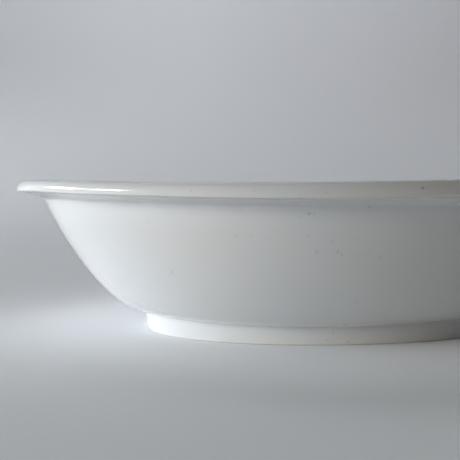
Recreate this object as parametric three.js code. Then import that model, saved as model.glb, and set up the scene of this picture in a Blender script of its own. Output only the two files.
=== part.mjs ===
// Oval serving bowl in white glazed earthenware. Millimetres, +Z up.
// It stands on z = 0, centred on the origin, with its long axis along X.
// Three clay pieces: the pressed body, the everted rim with its rolled lip, and the applied foot ring.
import * as THREE from "three";
import { mergeVertices } from "three/addons/utils/BufferGeometryUtils.js";

// Overall sizes
const overallLength = 300;
const overallWidth = 224;
const sideHeight = 71.7; // to the top of the rim at the middle of a long side
const endRise = 2.6; // the rim stands this much higher at the two ends
const climbEase = 0.1; // how gently the wall starts to climb, above the floor

// Rim, on a section through one end
const rimOverhang = 12.6; // from the crease under the rim out to the lip
const rimDepth = 8.8; // from the top of the rim down to the crease
const rimHollow = 0.6; // how far the underside is hollowed, half way along
const lipRollWidth = 4.3;
const lipRollHeight = 4.6;
const lipCornerRadius = 0.8;
const rimInnerRadius = 6.5; // rounding from the top of the rim down into the well

// Wall and floor
const wallThickness = 5;
const floorThickness = 6;
const wallLean = THREE.MathUtils.degToRad(25); // of the wall's top from upright
const undersideSlope = THREE.MathUtils.degToRad(11.5); // of the wall where it leaves the foot
const floorInset = 3.3; // the level floor ends this far inside the outer edge of the foot

// The fullness of a wall curve is the length of its handles, as a share of the span between its ends.
const outerFullness = { top: 0.33, bottom: 0.27 };
const innerFullness = { top: 0.298, bottom: 0.268 };

// Foot ring
const footLength = 179.2; // at its top, where the wall springs from it
const footWidth = 102.8;
const footHeight = 8.7;
const footFullness = 0.02; // between its ends and sides the foot reaches this share beyond an ellipse
const footDraft = 1; // the foot is this much narrower at its base, on each side
const footLand = 4.6; // width of the level face that it stands on
const footEdgeRadius = 0.9;
const footInnerDraft = 1.8; // the ring thickens by this much towards the floor, on its inner side

// Layout of the joints and of the mesh
const lutingGap = 0.3; // clearance between clay pieces that are joined with slip
const roundSegments = 96;
const wallSteps = 13;
const curveSteps = 3;
const weldDistance = 1e-4;

// Finishes
const whiteGlaze = { color: 0xe4e5e2, roughness: 0.2, metalness: 0 };
const footGlaze = { color: 0xe4e3de, roughness: 0.3, metalness: 0 };

// Places that follow from the sizes
const lipRadius = overallLength / 2;
const creaseRadius = lipRadius - rimOverhang;
const creaseHeight = sideHeight - rimDepth;
const wellTopRadius = creaseRadius - wallThickness / Math.cos(wallLean);
const footRadius = footLength / 2;
const floorTop = footHeight + floorThickness;
const floorRadius = footRadius - floorInset;
const landRadius = footRadius - footDraft - footEdgeRadius;
const footInnerRadius = landRadius - footLand - footEdgeRadius;
const ringCore = footInnerRadius - footInnerDraft; // rings inside this one shrink evenly to the middle

// How far radius r has come from the foot, at 0, to the crease under the rim, at 1.
function wayUp(r) {
  return THREE.MathUtils.clamp((r - footRadius) / (creaseRadius - footRadius), 0, 1);
}

// The bowl's ovals: how much shorter the half width is than the half length at radius r.
function halfDifference(r) {
  const atFoot = (footLength - footWidth) / 2;
  const atRim = (overallLength - overallWidth) / 2;
  return atFoot + (atRim - atFoot) * wayUp(r);
}

function halfWidth(r) {
  if (r >= ringCore) {
    return r - halfDifference(r);
  }
  return (r * (ringCore - halfDifference(ringCore))) / ringCore;
}

// The foot's oval is fuller than an ellipse, most of all half way round each quarter. This fades up the wall.
function fullness(r, cosine, sine) {
  return 1 + footFullness * (1 - wayUp(r)) * (2 * sine * cosine) ** 2;
}

// The wall climbs towards the two ends. The climb starts gently above the floor and then grows with height.
function climb(height, cosine) {
  const share = Math.max(0, (height - floorTop) / (sideHeight - floorTop));
  const growth = ((1 + climbEase) * share * share) / (share + climbEase);
  return endRise * growth * cosine * cosine;
}

// Turns a round lathe form, whose axis is upright, into the bowl's oval.
function ovalise(lathe) {
  lathe.rotateX(Math.PI / 2);
  lathe.deleteAttribute("normal");
  lathe.deleteAttribute("uv");
  const place = lathe.getAttribute("position");
  for (let i = 0; i < place.count; i += 1) {
    const x = place.getX(i);
    const y = place.getY(i);
    const r = Math.hypot(x, y);
    if (r > weldDistance) {
      const full = fullness(r, x / r, y / r);
      place.setX(i, x * full);
      place.setY(i, (y / r) * halfWidth(r) * full);
      place.setZ(i, place.getZ(i) + climb(place.getZ(i), x / r));
    } else {
      place.setX(i, 0);
      place.setY(i, 0);
    }
  }
  return dropEmptyFaces(mergeVertices(lathe, weldDistance));
}

// Rings that meet on the axis leave faces with two corners in one place.
function dropEmptyFaces(geometry) {
  const index = geometry.getIndex();
  const kept = [];
  for (let i = 0; i < index.count; i += 3) {
    const corners = [index.getX(i), index.getX(i + 1), index.getX(i + 2)];
    if (new Set(corners).size === 3) {
      kept.push(...corners);
    }
  }
  geometry.setIndex(kept);
  return geometry;
}

// A piece from its section: the curves follow each other round it, each with its number of steps.
function clayPiece(name, section, finish) {
  const points = section.flatMap(([curve, steps], i) => curve.getPoints(steps).slice(i === 0 ? 0 : 1));
  const geometry = ovalise(new THREE.LatheGeometry(points, roundSegments));
  const piece = new THREE.Mesh(geometry, new THREE.MeshStandardMaterial(finish));
  piece.name = name;
  return piece;
}

const at = (r, z) => new THREE.Vector2(r, z);
const line = (from, to) => [new THREE.LineCurve(from, to), 1];
const bend = (from, by, to) => [new THREE.QuadraticBezierCurve(from, by, to), curveSteps];
const arc = (centre, wide, high, start, turn) =>
  new THREE.EllipseCurve(centre.x, centre.y, wide, high, start, start + turn);

// A wall curve from its top, where it leans outwards, down to its bottom, where it nears the level.
function wallCurve(top, bottom, bottomSlope, fullness) {
  const span = top.distanceTo(bottom);
  const topHandle = at(-Math.sin(wallLean), -Math.cos(wallLean)).multiplyScalar(span * fullness.top);
  const bottomHandle = at(Math.cos(bottomSlope), Math.sin(bottomSlope));
  bottomHandle.multiplyScalar(span * fullness.bottom);
  return [top, top.clone().add(topHandle), bottom.clone().add(bottomHandle), bottom];
}

// The pressed body: an even wall that thickens towards a level floor.
function bowlBody() {
  const wallTop = creaseHeight - lutingGap;
  const outerTop = at(creaseRadius, wallTop);
  const innerTop = at(wellTopRadius, wallTop);
  const footEdge = at(footRadius, footHeight);
  const floorEdge = at(floorRadius, floorTop);
  const outside = wallCurve(outerTop, footEdge, undersideSlope, outerFullness).reverse();
  const inside = wallCurve(innerTop, floorEdge, 0, innerFullness);
  const section = [
    line(at(0, footHeight), footEdge),
    [new THREE.CubicBezierCurve(...outside), wallSteps],
    line(outerTop, innerTop),
    [new THREE.CubicBezierCurve(...inside), wallSteps],
    line(floorEdge, at(0, floorTop)),
  ];
  return clayPiece("bowl_body", section, whiteGlaze);
}

// The rim leaves the wall at a crease, overhangs it and ends in a rolled lip with a fairly crisp lower edge.
function rimFlange() {
  const innerSeat = at(wellTopRadius, creaseHeight);
  const crease = at(creaseRadius, creaseHeight);
  const rollBottom = sideHeight - lipRollHeight;
  const lipFoot = at(lipRadius - lipCornerRadius, rollBottom - lipCornerRadius);
  const lipEdge = at(lipRadius, rollBottom);
  const hollow = crease.clone().lerp(lipFoot, 0.5).add(at(0, 2 * rimHollow));
  // the rounding turns the leaning well into the level top of the rim
  const turn = Math.PI / 2 - wallLean;
  const wellCorner = wellTopRadius + rimDepth * Math.tan(wallLean);
  const roundingEnd = wellCorner + rimInnerRadius * Math.tan(turn / 2);
  const roundingCentre = at(roundingEnd, sideHeight - rimInnerRadius);
  const rounding = arc(roundingCentre, rimInnerRadius, rimInnerRadius, Math.PI / 2, turn);
  const rollWidth = Math.min(lipRollWidth, lipRadius - roundingEnd);
  const roll = arc(at(lipRadius - rollWidth, rollBottom), rollWidth, lipRollHeight, 0, Math.PI / 2);
  const section = [
    line(innerSeat, crease),
    bend(crease, hollow, lipFoot),
    bend(lipFoot, at(lipRadius, lipFoot.y), lipEdge),
    [roll, 2 * curveSteps],
    line(roll.getPoint(1), rounding.getPoint(0)),
    [rounding, curveSteps],
    line(rounding.getPoint(1), innerSeat),
  ];
  return clayPiece("rim_flange", section, whiteGlaze);
}

// The foot ring, applied under the floor. It narrows towards the level land that the bowl stands on.
function footRing() {
  const seat = footHeight - lutingGap;
  const outerSeat = at(footRadius, seat);
  const innerSeat = at(footInnerRadius - footInnerDraft, seat);
  const outerFoot = at(footRadius - footDraft, footEdgeRadius);
  const innerFoot = at(footInnerRadius, footEdgeRadius);
  const section = [
    line(at(landRadius - footLand, 0), at(landRadius, 0)),
    bend(at(landRadius, 0), at(footRadius - footDraft, 0), outerFoot),
    line(outerFoot, outerSeat),
    line(outerSeat, innerSeat),
    line(innerSeat, innerFoot),
    bend(innerFoot, at(footInnerRadius, 0), at(landRadius - footLand, 0)),
  ];
  return clayPiece("foot_ring", section, footGlaze);
}

const bowl = new THREE.Group();
bowl.add(bowlBody(), rimFlange(), footRing());

export default bowl;
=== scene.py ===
import math
import bmesh
import bpy
from mathutils import Matrix, Vector, noise
from mathutils.geometry import interpolate_bezier


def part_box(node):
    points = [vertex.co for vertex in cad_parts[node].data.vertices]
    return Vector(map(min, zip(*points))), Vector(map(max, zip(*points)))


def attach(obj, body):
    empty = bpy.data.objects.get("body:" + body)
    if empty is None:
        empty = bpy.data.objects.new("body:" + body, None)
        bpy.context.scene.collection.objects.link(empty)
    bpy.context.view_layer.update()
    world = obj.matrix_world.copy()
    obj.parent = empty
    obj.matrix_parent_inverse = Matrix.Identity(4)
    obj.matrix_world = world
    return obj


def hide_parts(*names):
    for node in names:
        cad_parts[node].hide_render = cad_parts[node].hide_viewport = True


# Oval serving bowl in white glazed earthenware: a pressed body, an everted rim with a rolled lip
# and an applied foot ring. Metres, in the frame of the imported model, with the long axis along X.

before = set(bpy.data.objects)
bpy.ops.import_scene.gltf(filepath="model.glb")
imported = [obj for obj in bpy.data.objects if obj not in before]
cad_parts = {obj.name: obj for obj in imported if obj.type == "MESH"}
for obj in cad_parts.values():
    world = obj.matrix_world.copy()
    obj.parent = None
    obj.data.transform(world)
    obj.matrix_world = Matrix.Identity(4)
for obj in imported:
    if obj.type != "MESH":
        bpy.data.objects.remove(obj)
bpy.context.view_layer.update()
print("frame loaded")

mm = 0.001
deg = math.radians
samePoint = 0.001 * mm  # points closer than this are one point

rimLow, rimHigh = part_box("rim_flange")
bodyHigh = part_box("bowl_body")[1]
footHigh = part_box("foot_ring")[1]

# what the three pieces share
bowl = {
    "wallThickness": 5 * mm,
    "wallLean": deg(25),  # of the wall's top from upright
    "undersideSlope": deg(11.5),  # of the wall where it leaves the foot
    "floorThickness": 6 * mm,
    "slipJoint": 0.3 * mm,  # the foot's top face lies this far under the body
    "endRise": 2.6 * mm,  # the rim stands this much higher at its two ends
    "climbEase": 0.1,  # how gently the wall starts to climb, above the floor
    "footFullness": 0.02,  # between its ends and sides the foot reaches this share beyond an ellipse
    "turnSteps": 360,  # once round the bowl
    "sharpAngle": deg(40),  # only edges hidden in the joints are sharper than this
}


def at(r, z):
    # a point of a section: its distance from the middle, and its height
    return Vector((r, 0, z))


def aim(angle):
    return Vector((math.cos(angle), 0, math.sin(angle)))


# where the pieces meet, on a section through one end of the bowl
lip = at(rimHigh.x, rimHigh.z - bowl["endRise"])
crease = at(bodyHigh.x, rimLow.z)
wellTop = crease - at(bowl["wallThickness"] / math.cos(bowl["wallLean"]), 0)
footTop = at(footHigh.x, footHigh.z + bowl["slipJoint"])
floorHeight = footTop.z + bowl["floorThickness"]
wallUp = aim(math.pi / 2 - bowl["wallLean"])
wallOut = aim(bowl["undersideSlope"])


# Section lines. Each stretch is a list of points, and a section joins its stretches.

def straight(start, end, steps):
    return [start.lerp(end, i / steps) for i in range(steps + 1)]


def curve(start, startHandle, endHandle, end, steps):
    return interpolate_bezier(start, startHandle, endHandle, end, steps + 1)


def bend(start, corner, end, steps):
    return curve(start, start.lerp(corner, 2 / 3), end.lerp(corner, 2 / 3), end, steps)


def arc(centre, wide, high, start, end, steps):
    turn = [start + (end - start) * i / steps for i in range(steps + 1)]
    return [centre + at(wide * math.cos(a), high * math.sin(a)) for a in turn]


def fillet(corner, firstWay, secondWay, radius, steps):
    # a round corner between two straight ways that leave it
    half = firstWay.angle(secondWay) / 2
    reach = radius / math.tan(half)
    centre = corner + (firstWay + secondWay).normalized() * (radius / math.sin(half))
    first = corner + firstWay * reach - centre
    last = corner + secondWay * reach - centre
    sweep = math.pi - 2 * half
    return [centre + (first * math.sin(sweep * (1 - i / steps)) + last * math.sin(sweep * i / steps))
            / math.sin(sweep) for i in range(steps + 1)]


def joined(*stretches):
    points = list(stretches[0])
    for stretch in stretches[1:]:
        points += [p for p in stretch if (p - points[-1]).length > samePoint]
    return points


# Foot ring: it narrows towards the level land that it stands on.

foot = {
    "draft": 1 * mm,  # narrower at its base, on each side
    "land": 4.6 * mm,
    "edgeRadius": 0.9 * mm,
    "innerDraft": 1.8 * mm,
    "outerFillet": 0.3 * mm,
    "innerFillet": 2.2 * mm,
    "sunk": 1.2 * mm,  # the joint goes this deep into the body's clay
    "topPoolAndShade": 1.6 * mm,  # how far the glaze that gathers under the wall, with its painted shade, reaches
    "innerPoolAndShade": 2.5 * mm,
    "baseThin": 1.2 * mm,  # and how far it is thin round the outer edge of the base
    "bareHeight": 0.25 * mm,  # the land is wiped free of glaze, up to here
}
outerBase = at(footTop.x - foot["draft"], foot["edgeRadius"])
landOuter = at(outerBase.x - foot["edgeRadius"], 0)
landInner = landOuter - at(foot["land"], 0)
innerBase = at(landInner.x - foot["edgeRadius"], foot["edgeRadius"])
innerTop = at(innerBase.x - foot["innerDraft"], footTop.z)


def footSection():
    down = (outerBase - footTop).normalized()
    outside = fillet(footTop, wallOut, down, foot["outerFillet"], steps=6)
    innerDown = (innerBase - innerTop).normalized()
    inside = fillet(innerTop, innerDown, at(-1, 0), foot["innerFillet"], steps=8)
    return joined(
        outside,
        straight(outside[-1], outerBase, steps=6),
        bend(outerBase, at(outerBase.x, 0), landOuter, steps=5),
        straight(landOuter, landInner, steps=4),
        bend(landInner, at(innerBase.x, 0), innerBase, steps=5),
        straight(innerBase, inside[0], steps=6),
        inside,
        [inside[-1] + at(0, foot["sunk"]), at(footTop.x, footTop.z + foot["sunk"])],
    )


# Rim: it leaves the wall at a crease, overhangs it and ends in a rolled lip with a crisp lower edge.

rim = {
    "hollow": 0.6 * mm,  # how far the underside is hollowed, half way along
    "rollWidth": 4.3 * mm,
    "rollHeight": 4.6 * mm,
    "lipCorner": 0.8 * mm,
    "innerRadius": 6.5 * mm,  # from the top of the rim down into the well
    "creaseFillet": 2.2 * mm,
    "creasePoolAndShade": 2.6 * mm,  # how far the glaze that gathers in the crease, with its painted shade, reaches
    "edgeThin": 1.3 * mm,  # and how far it is thin round the lip's lower edge
}
lipEdge = at(lip.x, lip.z - rim["rollHeight"])


def rimSection():
    lipFoot = lipEdge - at(rim["lipCorner"], rim["lipCorner"])
    hollow = crease.lerp(lipFoot, 0.5) + at(0, 2 * rim["hollow"])
    under = (hollow - crease).normalized()
    cove = fillet(crease, -wallUp, under, rim["creaseFillet"], steps=8)
    wellCorner = wellTop.x + (lip.z - crease.z) * math.tan(bowl["wallLean"])
    turn = math.pi / 2 - bowl["wallLean"]
    radius = rim["innerRadius"]
    roundingCentre = at(wellCorner + radius * math.tan(turn / 2), lip.z - radius)
    rounding = arc(roundingCentre, radius, radius, math.pi / 2, math.pi / 2 + turn, steps=12)
    rollCentre = lipEdge - at(rim["rollWidth"], 0)
    roll = arc(rollCentre, rim["rollWidth"], rim["rollHeight"], 0, math.pi / 2, steps=22)
    return joined(
        cove,
        bend(cove[-1], hollow, lipFoot, steps=14),
        bend(lipFoot, at(lip.x, lipFoot.z), lipEdge, steps=6),
        roll,
        straight(roll[-1], rounding[0], steps=2),
        rounding,
        straight(rounding[-1], wellTop, steps=5),
    )


# Pressed body: an even wall that thickens towards a level floor.

body = {
    "outerFullness": (0.33, 0.27),  # of the curve's handles at the top and bottom, to its span
    "innerFullness": (0.298, 0.268),
    "floorInset": 3.3 * mm,  # the level floor ends this far inside the outer edge of the foot
    "creasePoolAndShade": 2.6 * mm,  # how far the gathered glaze, with its painted shade, reaches, at its two ends
    "footPoolAndShade": 2.2 * mm,
}


def bodySection():
    floorEdge = at(footTop.x - body["floorInset"], floorHeight)
    outerSpan = (crease - footTop).length
    innerSpan = (wellTop - floorEdge).length
    outside = curve(
        footTop, footTop + wallOut * outerSpan * body["outerFullness"][1],
        crease - wallUp * outerSpan * body["outerFullness"][0], crease, steps=56)
    inside = curve(
        wellTop, wellTop - wallUp * innerSpan * body["innerFullness"][0],
        floorEdge + at(innerSpan * body["innerFullness"][1], 0), floorEdge, steps=52)
    return joined(
        straight(at(0, footTop.z), footTop, steps=12),
        outside,
        [wellTop],
        inside,
        straight(floorEdge, at(0, floorHeight), steps=12),
    )


# The bowl's ovals: how much narrower a ring is than it is long, at each distance from the middle.

def wayUp(r):
    return min(max((r - footTop.x) / (crease.x - footTop.x), 0), 1)  # 0 at the foot, 1 at the crease


def halfWidth(r):
    atFoot = footHigh.x - footHigh.y
    atRim = rimHigh.x - rimHigh.y
    core = innerTop.x  # rings inside this one shrink evenly to the middle
    if r >= core:
        return r - atFoot - (atRim - atFoot) * wayUp(r)
    return r * (core - atFoot) / core


def onOval(r, z, angle):
    # the foot's oval is fuller than an ellipse, and this fades up the wall
    full = 1 + bowl["footFullness"] * (1 - wayUp(r)) * math.sin(2 * angle) ** 2
    return Vector((r * math.cos(angle) * full, halfWidth(r) * math.sin(angle) * full, z))


def climb(z, cosine):
    share = max(0, (z - floorHeight) / (lip.z - floorHeight))
    ease = bowl["climbEase"]
    return bowl["endRise"] * cosine ** 2 * (1 + ease) * share ** 2 / (share + ease)


# How far the potter's hand left the clay from the true shape. Lifts and dips are degrees round from
# the right-hand end, degrees wide and millimetres up.

hand = {
    "waviness": 0.25 * mm,  # hand-pressed clay is never quite even
    "waveLength": 75 * mm,
    "waveSeed": 5,  # any whole number above 0
    "wavesWhole": 20 * mm,  # the foot stands level, and the waves grow up to this height
    "rimTop": [(205, 17, 0.3), (247, 13, 0.35), (266, 13, 0.25), (287, 14, 0.5), (78, 34, -0.35),
               (150, 20, 0.15)],
    "rimTopStarts": 3 * mm,  # above the crease
    "rimUnder": [(204, 13, 0.6), (213, 11, 0.7), (235, 17, 0.7), (272, 20, -0.2), (20, 25, 0.3),
                 (110, 30, -0.25)],
    "rimUnderStarts": 4 * mm,  # inside the top of the well, so that the well itself stays true
    "rimUnderWhole": 2 * mm,  # inside the crease
    "rimUnderFades": 12 * mm,  # down the wall from the crease
    "footLine": [(262, 20, -0.4), (212, 18, 0.4), (298, 14, 0.3), (95, 30, 0.3)],
    "footLineFades": 4 * mm,  # above and below the line where the wall springs from the foot
}
noise.seed_set(hand["waveSeed"])


def swell(angle, bumps):
    total = 0
    for where, width, amount in bumps:
        away = (math.degrees(angle) - where + 180) % 360 - 180
        total += amount * math.exp(-(away / width) ** 2)
    return total * mm


def between(value, low, high):
    share = min(max((value - low) / (high - low), 0), 1)
    return share * share * (3 - 2 * share)


def handWork(r, z, angle):
    grown = between(z, 0, hand["wavesWhole"])
    move = noise.noise_vector(onOval(r, z, angle) / hand["waveLength"]) * hand["waviness"] * grown
    outward = between(r, wellTop.x - hand["rimUnderStarts"], crease.x - hand["rimUnderWhole"])
    nearRim = between(z, crease.z - hand["rimUnderFades"], crease.z)
    high = between(z, crease.z + hand["rimTopStarts"], lip.z)
    move.z += swell(angle, hand["rimUnder"]) * (1 - high) * nearRim * outward
    move.z += swell(angle, hand["rimTop"]) * high
    nearLine = math.exp(-((z - footTop.z) / hand["footLineFades"]) ** 2)
    move.z += swell(angle, hand["footLine"]) * (nearLine * between(r, innerTop.x, footTop.x))
    return move


def shapeOval(mesh):
    for vert in mesh.verts:
        r = math.hypot(vert.co.x, vert.co.y)
        if r < samePoint:
            continue
        angle = math.atan2(vert.co.y, vert.co.x)
        z = vert.co.z
        vert.co = onOval(r, z, angle)
        vert.co.z += climb(z, math.cos(angle))
        vert.co += handWork(r, z, angle)


def chain(mesh, points, closed=False):
    verts = [mesh.verts.new(p) for p in points]
    for first, second in zip(verts, verts[1:] + verts[:1] if closed else verts[1:]):
        mesh.edges.new((first, second))
    return verts


def smoothObject(name, mesh):
    # the finished mesh, shaded smooth, as an object of its own
    bmesh.ops.recalc_face_normals(mesh, faces=mesh.faces)
    for face in mesh.faces:
        face.smooth = True
    for edge in mesh.edges:
        edge.smooth = edge.calc_face_angle(0) < bowl["sharpAngle"]
    data = bpy.data.meshes.new(name)
    mesh.to_mesh(data)
    mesh.free()
    made = bpy.data.objects.new(name, data)
    bpy.context.scene.collection.objects.link(made)
    return made


def nearness(point, spots):
    # 1 on the nearest of these spots, and fading over the length that each one reaches
    return max((math.exp(-((point - spot).length / reach) ** 2) for spot, reach in spots), default=0.0)


def turnPiece(name, section, closed, poolAndShadeSpots, thins):
    # the section is spun once round, and the round form is then made oval
    mesh = bmesh.new()
    poolAndShade = mesh.verts.layers.float.new("glazePoolAndShade")
    thin = mesh.verts.layers.float.new("glazeThin")
    for vert in chain(mesh, section, closed):
        vert[poolAndShade] = nearness(vert.co, poolAndShadeSpots)
        vert[thin] = nearness(vert.co, thins)
    bmesh.ops.spin(mesh, geom=mesh.verts[:] + mesh.edges[:], cent=(0, 0, 0), axis=(0, 0, 1),
                   angle=2 * math.pi, steps=bowl["turnSteps"], use_merge=True, use_duplicate=False)
    bmesh.ops.remove_doubles(mesh, verts=mesh.verts, dist=samePoint)
    shapeOval(mesh)
    piece = smoothObject(name, mesh)
    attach(piece, "root")
    print(name, "turned:", len(piece.data.polygons), "faces")
    return piece


# the pools are where the glaze gathers in creases and recesses and is painted darker there: part real
# pooling, part painted shade
bodyPiece = turnPiece(
    "pressed_body", bodySection(), closed=False,
    poolAndShadeSpots=[(crease, body["creasePoolAndShade"]), (footTop, body["footPoolAndShade"])], thins=[])
rimPiece = turnPiece(
    "everted_rim", rimSection(), closed=True,
    poolAndShadeSpots=[(crease, rim["creasePoolAndShade"])], thins=[(lipEdge, rim["edgeThin"])])
footPiece = turnPiece(
    "applied_foot", footSection(), closed=True,
    poolAndShadeSpots=[(footTop, foot["topPoolAndShade"]), (innerTop, foot["innerPoolAndShade"])],
    thins=[(outerBase, foot["baseThin"])])

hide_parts("bowl_body")
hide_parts("rim_flange")
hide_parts("foot_ring")


# Glaze

glaze = {
    "white": (0.795, 0.81, 0.81, 1),
    "warmWhite": (0.81, 0.805, 0.785, 1),
    "driftSize": 70 * mm,  # of the patches in which one white goes over into the other
    "pooledAndShaded": (0.69, 0.72, 0.72, 1),  # where it runs together it is thicker and bluer, and in the creases and recesses it is also painted darker as painted shade
    "poolAndShadeShare": (0.15, 0.5),  # least and most, in streaks
    "thin": (0.8, 0.77, 0.71, 1),  # on the edges the cream clay shows through
    "thinShare": (0.05, 0.4),
    "streakSize": 9 * mm,
    "clay": (0.62, 0.49, 0.35, 1),
    "claySize": 3 * mm,
    "clayRoughness": 0.8,
    "mark": (0.3, 0.26, 0.22, 1),
    "raggedSize": 1.5 * mm,
    "raggedness": 0.9 * mm,
    "specksApart": 9 * mm,
    "speckCore": 0.02,  # a speck is whole out to here, in cells
    "speckEdge": 0.06,  # and gone from here on
    "speckFree": 0.8,  # this share of the cells has none
    "speckStrength": 0.35,
    "gloss": 0.05,
    "dull": 0.1,
    "dullSize": 14 * mm,  # of the patches that are a little duller
    "waveSize": 13 * mm,
    "waveDepth": 0.03 * mm,
    "peelSize": 1.6 * mm,
    "peelDepth": 0.006 * mm,
    "pitDepth": 0.05 * mm,
}

# Small marks in the glaze: degrees round from the right-hand end, height, radius, how drawn out
# they are upwards, and strength. Lengths are in millimetres.
bodyMarks = [
    (225, 57.9, 0.5, 1.0, 0.19), (224.6, 57.2, 0.5, 1.0, 0.19), (224.2, 56.6, 0.5, 1.0, 0.19),
    (224.2, 35.4, 1.3, 1.2, 0.19), (223, 34.2, 0.9, 1.0, 0.12), (246.7, 51.7, 0.9, 1.0, 0.15),
    (243.6, 51.9, 1.3, 0.8, 0.12), (260.1, 60.4, 1.3, 0.8, 0.31), (261.3, 60.2, 0.8, 1.0, 0.25),
    (257.9, 58.8, 0.7, 1.0, 0.19), (259.5, 51.6, 0.8, 1.4, 0.15), (261.5, 45.6, 1.1, 1.3, 0.22),
    (263.0, 44.9, 0.6, 1.5, 0.15), (265, 49.5, 1.2, 0.7, 0.19), (266.6, 45.5, 1.0, 1.5, 0.28),
    (267.5, 44.1, 0.9, 1.6, 0.22), (262.9, 41.0, 0.6, 1.0, 0.19), (271, 51, 0.8, 7.0, 0.07),
    (271.9, 43.4, 0.9, 1.4, 0.22), (277.3, 42.8, 1.2, 0.9, 0.22), (273.5, 23.5, 1.1, 0.8, 0.15),
    (231.9, 23.7, 0.9, 1.0, 0.15), (228.8, 24.0, 0.9, 1.0, 0.15), (239.3, 37.8, 0.8, 3.0, 0.07),
    (20, 41, 1.1, 1.0, 0.25), (57, 33, 0.8, 1.2, 0.25), (101, 49, 1.2, 0.8, 0.19),
    (140, 28, 0.9, 1.0, 0.25), (163, 52, 0.8, 1.0, 0.22), (318, 47, 1.0, 1.1, 0.25),
]
rimMarks = [
    (239.5, 69.3, 0.5, 1.0, 0.5), (250.8, 69.1, 0.4, 1.0, 0.5), (258.8, 66.6, 0.5, 1.0, 0.5),
    (263.6, 68.2, 0.4, 1.0, 0.5), (281, 69.6, 0.9, 0.8, 0.75), (272.7, 62.5, 0.9, 1.0, 0.4),
    (34, 69, 0.6, 1.0, 0.5), (119, 70, 0.5, 1.0, 0.5),
]
footMarks = [
    (275.8, 1.7, 0.8, 1.0, 0.45), (268.2, 5.9, 1.0, 0.8, 0.3), (265.5, 2.2, 0.5, 1.0, 0.5),
    (77, 4.5, 0.8, 1.0, 0.4),
]


def addNode(tree, kind, inputs=None, **settings):
    node = tree.nodes.new(kind)
    for name, value in settings.items():
        setattr(node, name, value)
    for key, value in (inputs or {}).items():
        if isinstance(value, bpy.types.NodeSocket):
            tree.links.new(value, node.inputs[key])
        else:
            node.inputs[key].default_value = value
    return node


def blendColours(tree, share, first, second):
    return addNode(tree, "ShaderNodeMix", {0: share, 6: first, 7: second}, data_type="RGBA").outputs[2]


def remap(tree, value, low, high, toLow=0.0, toHigh=1.0, smooth=True):
    kind = "SMOOTHSTEP" if smooth else "LINEAR"
    inputs = {"Value": value, "From Min": low, "From Max": high, "To Min": toLow, "To Max": toHigh}
    return addNode(tree, "ShaderNodeMapRange", inputs, interpolation_type=kind).outputs[0]


def maths(tree, operation, first, second):
    return addNode(tree, "ShaderNodeMath", {0: first, 1: second}, operation=operation).outputs[0]


def vectorMaths(tree, operation, inputs, output="Vector"):
    return addNode(tree, "ShaderNodeVectorMath", inputs, operation=operation).outputs[output]


def cloud(tree, place, size, detail=2.0, output=0):
    # its values lie mostly between 0.3 and 0.7
    inputs = {"Vector": place, "Scale": 1 / size, "Detail": detail}
    return addNode(tree, "ShaderNodeTexNoise", inputs).outputs[output]


def vertexShare(tree, name):
    return addNode(tree, "ShaderNodeAttribute", attribute_name=name).outputs["Fac"]


def bump(tree, height, depth, under=None, sunk=False):
    inputs = {"Height": height, "Distance": depth, "Strength": 1.0}
    if under is not None:
        inputs["Normal"] = under
    return addNode(tree, "ShaderNodeBump", inputs, invert=sunk).outputs[0]


def markShare(tree, place, piece, marks):
    # each mark lies where a level line from outside, at its height, meets the piece
    total = 0.0
    for turn, height, radius, drawnOut, strength in marks:
        way = Vector((math.cos(deg(turn)), math.sin(deg(turn)), 0))
        spot = piece.ray_cast(way + Vector((0, 0, height * mm)), -way)[1]
        away = vectorMaths(tree, "SUBTRACT", {0: place, 1: spot})
        away = vectorMaths(tree, "MULTIPLY", {0: away, 1: Vector((1, 1, 1 / drawnOut))})
        length = vectorMaths(tree, "LENGTH", {0: away}, "Value")
        total = maths(tree, "MAXIMUM", total, remap(tree, length, 0.0, radius * mm, strength, 0.0))
    return total


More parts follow.
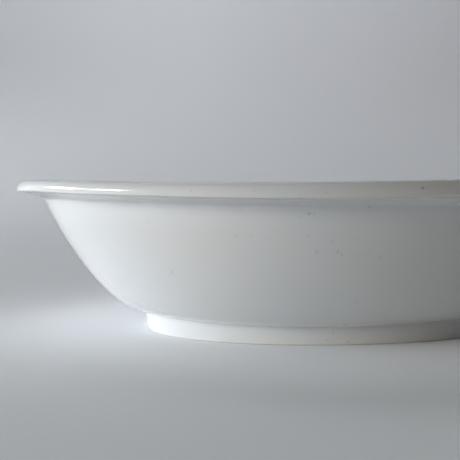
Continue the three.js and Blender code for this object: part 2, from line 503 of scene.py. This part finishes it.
def glazeMaterial(name, piece, marks, bareBelow=None):
    material = bpy.data.materials.new(name)
    material.use_nodes = True
    tree = material.node_tree
    shader = tree.nodes["Principled BSDF"]
    place = addNode(tree, "ShaderNodeTexCoord").outputs["Object"]
    poolAndShade = vertexShare(tree, "glazePoolAndShade")
    thin = vertexShare(tree, "glazeThin")

    drift = remap(tree, cloud(tree, place, glaze["driftSize"]), 0.35, 0.7)
    colour = blendColours(tree, drift, glaze["white"], glaze["warmWhite"])
    streaks = cloud(tree, place, glaze["streakSize"])
    # in the creases and recesses the glaze is painted darker and bluer: thicker glaze, and painted shade
    poolAndShadeShare = maths(tree, "MULTIPLY", poolAndShade, remap(tree, streaks, 0.25, 0.7, *glaze["poolAndShadeShare"]))
    colour = blendColours(tree, poolAndShadeShare, colour, glaze["pooledAndShaded"])
    thinShare = maths(tree, "MULTIPLY", thin, remap(tree, streaks, 0.35, 0.65, *glaze["thinShare"]))
    colour = blendColours(tree, thinShare, colour, glaze["thin"])

    # a few faint specks burnt through the glaze, each in a cell of its own
    cells = addNode(tree, "ShaderNodeTexVoronoi", {"Vector": place, "Scale": 1 / glaze["specksApart"]})
    chance = addNode(tree, "ShaderNodeSeparateColor", {0: cells.outputs["Color"]}).outputs[0]
    speck = remap(tree, cells.outputs["Distance"], glaze["speckCore"], glaze["speckEdge"], 1.0, 0.0)
    chosen = remap(tree, chance, glaze["speckFree"], 1.0, 0.0, glaze["speckStrength"])
    speck = maths(tree, "MULTIPLY", speck, chosen)

    # the marks have uneven edges
    ragged = cloud(tree, place, glaze["raggedSize"], output="Color")
    shift = vectorMaths(tree, "SUBTRACT", {0: ragged, 1: Vector((0.5, 0.5, 0.5))})
    shift = vectorMaths(tree, "SCALE", {0: shift, "Scale": glaze["raggedness"]})
    raggedPlace = vectorMaths(tree, "ADD", {0: place, 1: shift})
    blemish = maths(tree, "MAXIMUM", speck, markShare(tree, raggedPlace, piece, marks))
    colour = blendColours(tree, blemish, colour, glaze["mark"])

    grain = cloud(tree, place, glaze["dullSize"], detail=4.0)
    roughness = remap(tree, grain, 0.3, 0.7, glaze["gloss"], glaze["dull"])
    if bareBelow:
        # the face that the bowl stands on was wiped free of glaze before firing
        height = addNode(tree, "ShaderNodeSeparateXYZ", {0: raggedPlace}).outputs["Z"]
        bare = remap(tree, height, 0.5 * bareBelow, bareBelow, 1.0, 0.0)
        mottling = cloud(tree, place, glaze["claySize"], detail=5.0)
        clay = blendColours(tree, mottling, glaze["clay"], glaze["thin"])
        colour = blendColours(tree, bare, colour, clay)
        roughness = remap(tree, bare, 0.0, 1.0, roughness, glaze["clayRoughness"], smooth=False)
    tree.links.new(colour, shader.inputs["Base Color"])
    tree.links.new(roughness, shader.inputs["Roughness"])

    # the glaze lies in very low waves, with a fine orange peel on them, and sinks at the marks
    waves = bump(tree, cloud(tree, place, glaze["waveSize"], detail=1.0), glaze["waveDepth"])
    peel = bump(tree, cloud(tree, place, glaze["peelSize"], detail=1.0), glaze["peelDepth"], under=waves)
    pits = bump(tree, blemish, glaze["pitDepth"], under=peel, sunk=True)
    tree.links.new(pits, shader.inputs["Normal"])
    piece.data.materials.append(material)


bpy.context.view_layer.update()
glazeMaterial("white_glaze_on_the_body", bodyPiece, bodyMarks)
glazeMaterial("white_glaze_on_the_rim", rimPiece, rimMarks)
glazeMaterial("white_glaze_on_the_foot", footPiece, footMarks, bareBelow=foot["bareHeight"])
print("glazed")


# Stage: a pale floor that sweeps up into a backdrop, whose paint darkens towards its left and right
# edges as painted shade.

stage = {
    "halfWidth": 3.0,
    "front": -3.0,
    "sweepStart": 0.75,
    "sweepRadius": 0.7,
    "sweepSteps": 24,
    "wallTop": 3.0,
    "floorColour": (0.95, 0.96, 0.985, 1),
    "backMiddle": (0.9, 0.9, 0.93, 1),
    "backShadedEdges": (0.56, 0.56, 0.585, 1),
    "floorFade": 0.4,  # up to this height the floor's colour goes over into the backdrop's
    "leftFade": (-0.85, -0.05),  # along X, where the painted shade at the edges goes over into the middle's colour
    "rightFade": (0.2, 1.4),  # and where it comes back
    "roughness": 0.9,
    "shine": 0.2,
}


def stagePaper():
    paper = bpy.data.materials.new("pale_paper")
    paper.use_nodes = True
    tree = paper.node_tree
    shader = tree.nodes["Principled BSDF"]
    place = addNode(tree, "ShaderNodeTexCoord").outputs["Object"]
    split = addNode(tree, "ShaderNodeSeparateXYZ", {0: place}).outputs
    # painted shade: towards its left and right the backdrop is painted darker
    leftShare = remap(tree, split["X"], *stage["leftFade"])
    rightShare = remap(tree, split["X"], *stage["rightFade"], 1.0, 0.0)
    middle = maths(tree, "MULTIPLY", leftShare, rightShare)
    back = blendColours(tree, middle, stage["backShadedEdges"], stage["backMiddle"])
    upShare = remap(tree, split["Z"], 0.0, stage["floorFade"])
    tree.links.new(blendColours(tree, upShare, stage["floorColour"], back), shader.inputs["Base Color"])
    shader.inputs["Roughness"].default_value = stage["roughness"]
    shader.inputs["Specular IOR Level"].default_value = stage["shine"]
    return paper


def makeStage():
    mesh = bmesh.new()
    centre = Vector((0, stage["sweepStart"], stage["sweepRadius"]))
    steps = stage["sweepSteps"]
    sweep = [centre + stage["sweepRadius"] * Vector((0, math.sin(a), -math.cos(a)))
             for a in (math.pi / 2 * i / steps for i in range(steps + 1))]
    line = [Vector((0, stage["front"], 0)), *sweep, Vector((0, sweep[-1].y, stage["wallTop"]))]
    chain(mesh, [p - Vector((stage["halfWidth"], 0, 0)) for p in line])
    made = bmesh.ops.extrude_edge_only(mesh, edges=mesh.edges[:])
    moved = [v for v in made["geom"] if isinstance(v, bmesh.types.BMVert)]
    bmesh.ops.translate(mesh, verts=moved, vec=(2 * stage["halfWidth"], 0, 0))
    sweepObject = smoothObject("studio_sweep", mesh)
    sweepObject.data.materials.append(stagePaper())


makeStage()
print("stage set")


# Light: soft daylight, low from the left and a little from the front, a faint fill from the right
# that the camera's side of the bowl doesn't get, and two panes of a window that show in the glaze.

lights = [
    # name, degrees round from the left towards the front, degrees up, distance, width, height,
    # watts and colour
    ("soft_low", 8, 4, 4.2, 2.38, 0.59, 96, (0.76, 0.79, 0.91)),
    ("soft_left", 0, 14, 3.0, 1.28, 0.63, 29.8, (0.64, 0.82, 0.91)),
    ("soft_front", 25, 16, 3.0, 1.28, 0.63, 33.6, (1.0, 0.93, 0.8)),
    ("above_back", -60, 60, 3.0, 1.6, 1.6, 11, (0.99, 0.98, 1.0)),
    ("fill_right", -155, 5, 2.6, 0.7, 0.4, 15, (1.0, 0.99, 1.0)),
    ("pane_far", -10, 25, 3.0, 1.05, 0.6, 29, (1.0, 0.99, 0.97)),
    ("pane_near", 15.5, 25, 3.0, 0.85, 0.6, 25, (1.0, 0.99, 0.97)),
]
mirrored = ["pane_far", "pane_near"]  # only these show in the glaze, and they light nothing
lampAim = Vector((0, 0, 10 * mm))
world = {
    "colour": (0.78, 0.86, 1.0, 1),  # of the light that it gives
    "strength": 0.01,
    "seen": (0.1, 0.093, 0.088, 1),  # what shows past the stage and in the glaze
}


def addLight(name, turn, up, distance, width, height, watts, colour):
    lamp = bpy.data.lights.new(name, "AREA")
    lamp.shape = "RECTANGLE"
    lamp.size = width
    lamp.size_y = height
    lamp.energy = watts
    lamp.color = colour
    lampObject = bpy.data.objects.new(name, lamp)
    a, e = deg(turn), deg(up)
    way = Vector((-math.cos(a) * math.cos(e), -math.sin(a) * math.cos(e), math.sin(e)))
    lampObject.location = way * distance + lampAim
    lampObject.rotation_euler = (-way).to_track_quat("-Z", "Y").to_euler()
    lampObject.visible_glossy = name in mirrored
    lampObject.visible_diffuse = name not in mirrored
    bpy.context.scene.collection.objects.link(lampObject)


for light in lights:
    addLight(*light)

sky = bpy.data.worlds.new("studio")
bpy.context.scene.world = sky
sky.use_nodes = True
skyTree = sky.node_tree
skyTree.nodes.clear()
rays = addNode(skyTree, "ShaderNodeLightPath")
lit = addNode(skyTree, "ShaderNodeBackground", {"Color": world["colour"], "Strength": world["strength"]})
seen = addNode(skyTree, "ShaderNodeBackground", {"Color": world["seen"], "Strength": 1.0})
direct = maths(skyTree, "MAXIMUM", rays.outputs["Is Camera Ray"], rays.outputs["Is Glossy Ray"])
direct = maths(skyTree, "MAXIMUM", direct, rays.outputs["Is Transmission Ray"])
both = addNode(skyTree, "ShaderNodeMixShader", {0: direct, 1: lit.outputs[0], 2: seen.outputs[0]})
addNode(skyTree, "ShaderNodeOutputWorld", {"Surface": both.outputs[0]})
print("lit")


# Camera: just above the rim's height, looking a little down.

camera = {
    "place": Vector((-46.4, -363.4, 72.5)) * mm,
    "focal": 720,  # in pixels of a 460 pixel frame
    "frame": 460,
    "down": 0.067,  # radians, and so is the roll
    "roll": -0.011,
    "sensor": 36.0,
    "clipStart": 10 * mm,
}

eye = bpy.data.cameras.new("camera")
eye.sensor_width = camera["sensor"]
eye.lens = camera["sensor"] * camera["focal"] / camera["frame"]
eye.clip_start = camera["clipStart"]
eyeObject = bpy.data.objects.new("camera", eye)
eyeObject.matrix_world = (
    Matrix.Translation(camera["place"])
    @ Matrix.Rotation(math.pi / 2 - camera["down"], 4, "X")
    @ Matrix.Rotation(camera["roll"], 4, "Z"))
bpy.context.scene.collection.objects.link(eyeObject)
bpy.context.scene.camera = eyeObject
bpy.context.scene.view_settings.view_transform = "Standard"
